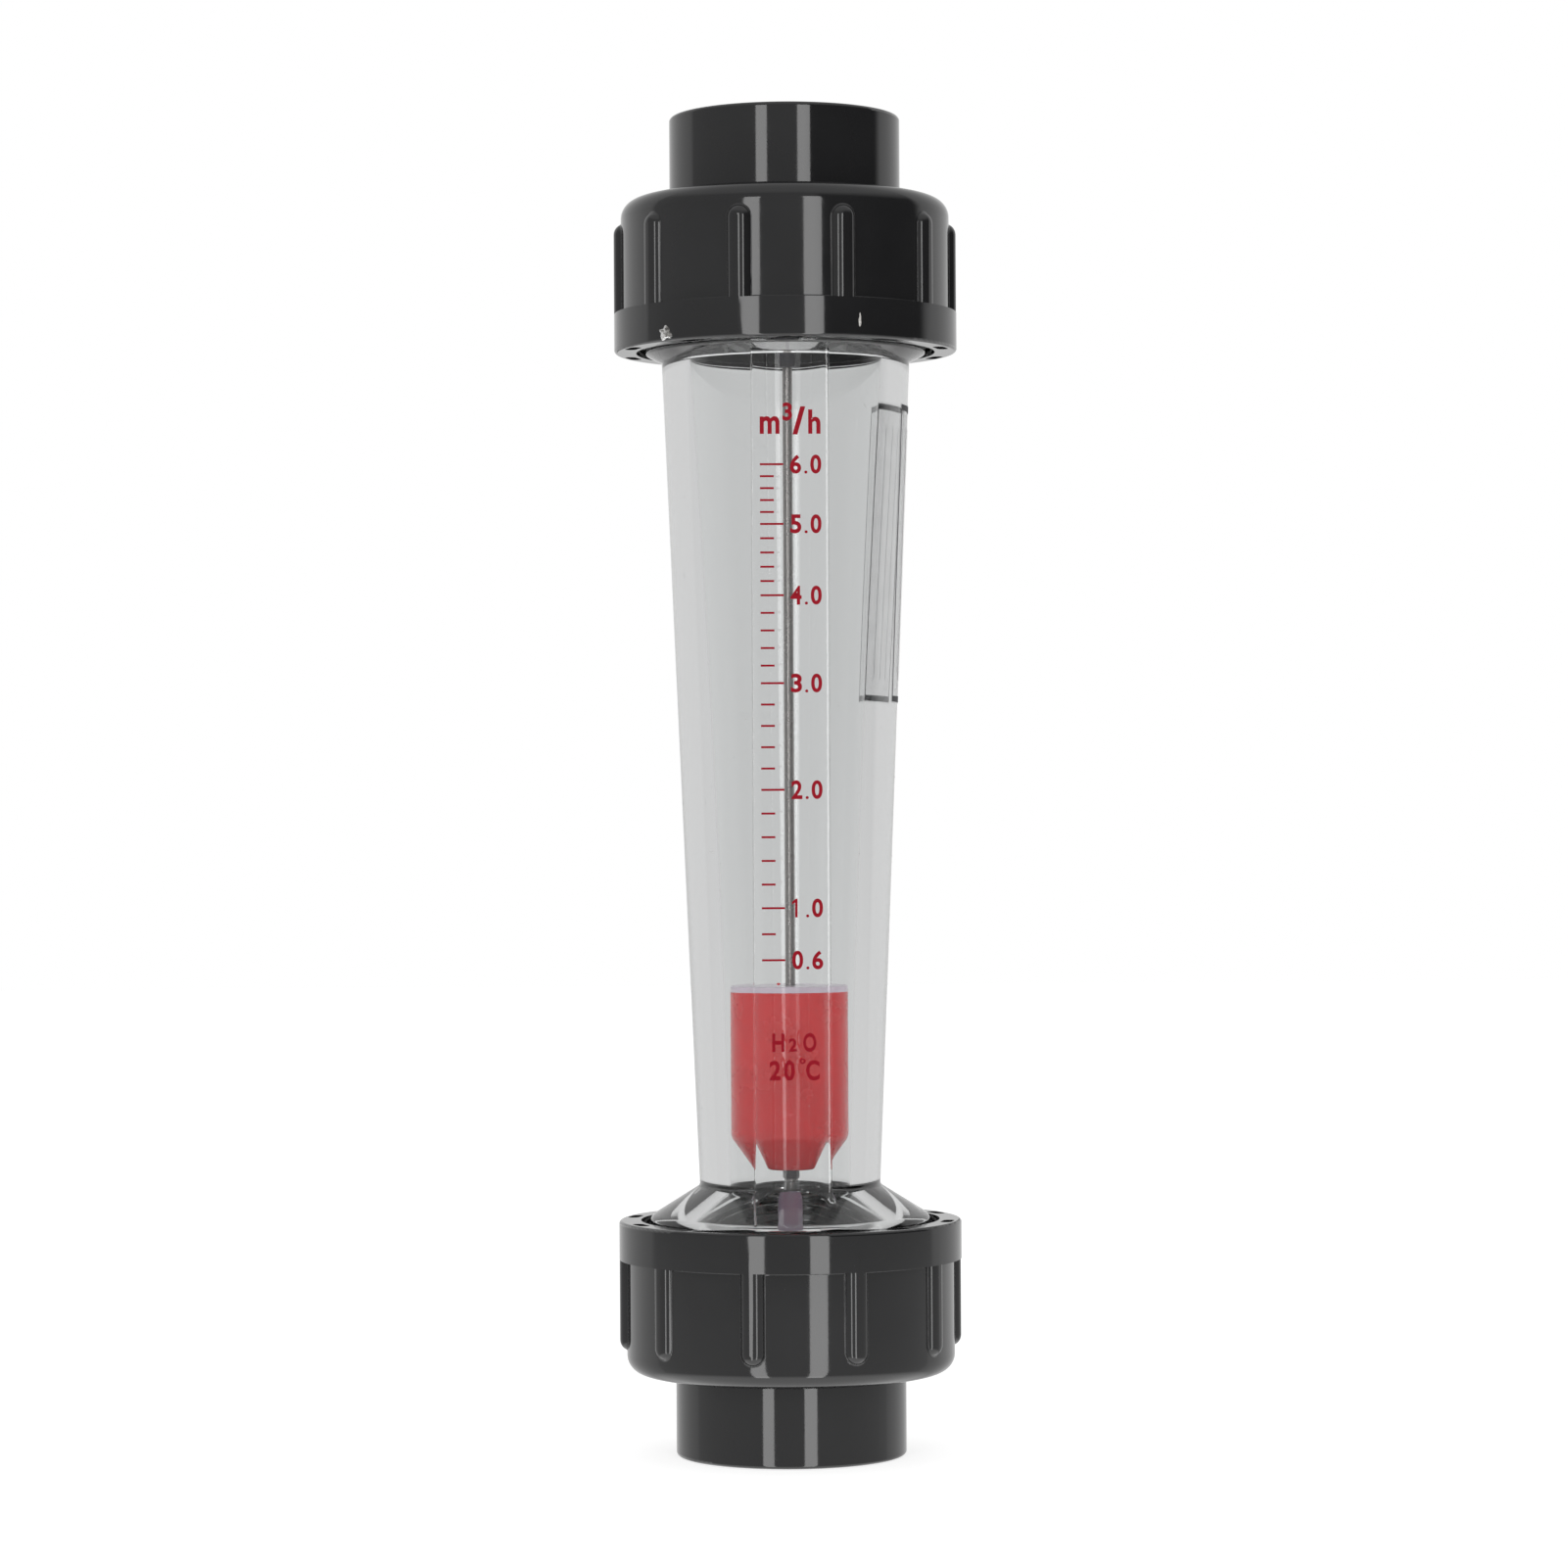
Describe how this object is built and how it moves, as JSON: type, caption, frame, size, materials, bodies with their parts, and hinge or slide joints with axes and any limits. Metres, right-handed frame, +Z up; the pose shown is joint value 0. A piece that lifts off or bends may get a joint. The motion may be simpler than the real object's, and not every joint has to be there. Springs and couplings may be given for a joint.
{
  "type": "water flow meter",
  "caption": "Upright variable-area water flow meter: a clear tapered tube with a flat scale panel, a guided float, and ribbed union nuts and glue sockets at its ends.",
  "frame": {"origin": "centre of the inlet socket's end face, on the meter's axis", "axes": "+Z up the meter's axis in the direction of flow, -Y out of the flat scale panel, +X to the panel's right"},
  "size_m": [0.1116, 0.1114, 0.435],
  "materials": {
    "moulded_pvc": "glossy dark grey, injection moulded",
    "clear_tube": "clear, polished, injection moulded",
    "seal_rubber": "black moulded rubber",
    "holder_plastic": "matt light grey moulding",
    "stop_sleeve": "mauve extruded sleeve",
    "stainless": "ground and drawn stainless steel",
    "float_red": "satin red moulding",
    "cap_white": "milky white moulding, waxy gloss",
    "bush_grey": "dark grey turned plastic",
    "label_film": "clear film with a printed border"
  },
  "bodies": {
    "meter_body": {"guide_rod": "stainless", "inlet_rod_cone": "holder_plastic", "inlet_rod_holder": "holder_plastic", "inlet_rod_nut": "stainless", "inlet_seal_ring": "seal_rubber", "inlet_socket": "moulded_pvc", "inlet_stop_sleeve": "stop_sleeve", "measuring_tube": "clear_tube", "outlet_rod_cone": "holder_plastic", "outlet_rod_holder": "holder_plastic", "outlet_rod_nut": "stainless", "outlet_seal_ring": "seal_rubber", "outlet_socket": "moulded_pvc", "outlet_stop_sleeve": "stop_sleeve", "tube_label": "label_film"},
    "float": {"float_body": "float_red", "float_cap": "cap_white", "float_weight": "stainless", "float_lower_bush": "bush_grey", "float_upper_bush": "bush_grey"},
    "inlet_nut": {"inlet_union_nut": "moulded_pvc"},
    "outlet_nut": {"outlet_union_nut": "moulded_pvc"}
  },
  "joints": [
    {"name": "float_slide", "type": "slide", "parent": "meter_body", "child": "float", "axis": [0, 0, 1], "range_m": [0, 0.2]},
    {"name": "inlet_nut_turn", "type": "hinge", "parent": "meter_body", "child": "inlet_nut", "pos_m": [0, 0, 0.05], "axis": [0, 0, 1], "continuous": true},
    {"name": "outlet_nut_turn", "type": "hinge", "parent": "meter_body", "child": "outlet_nut", "pos_m": [0, 0, 0.385], "axis": [0, 0, 1], "continuous": true}
  ]
}
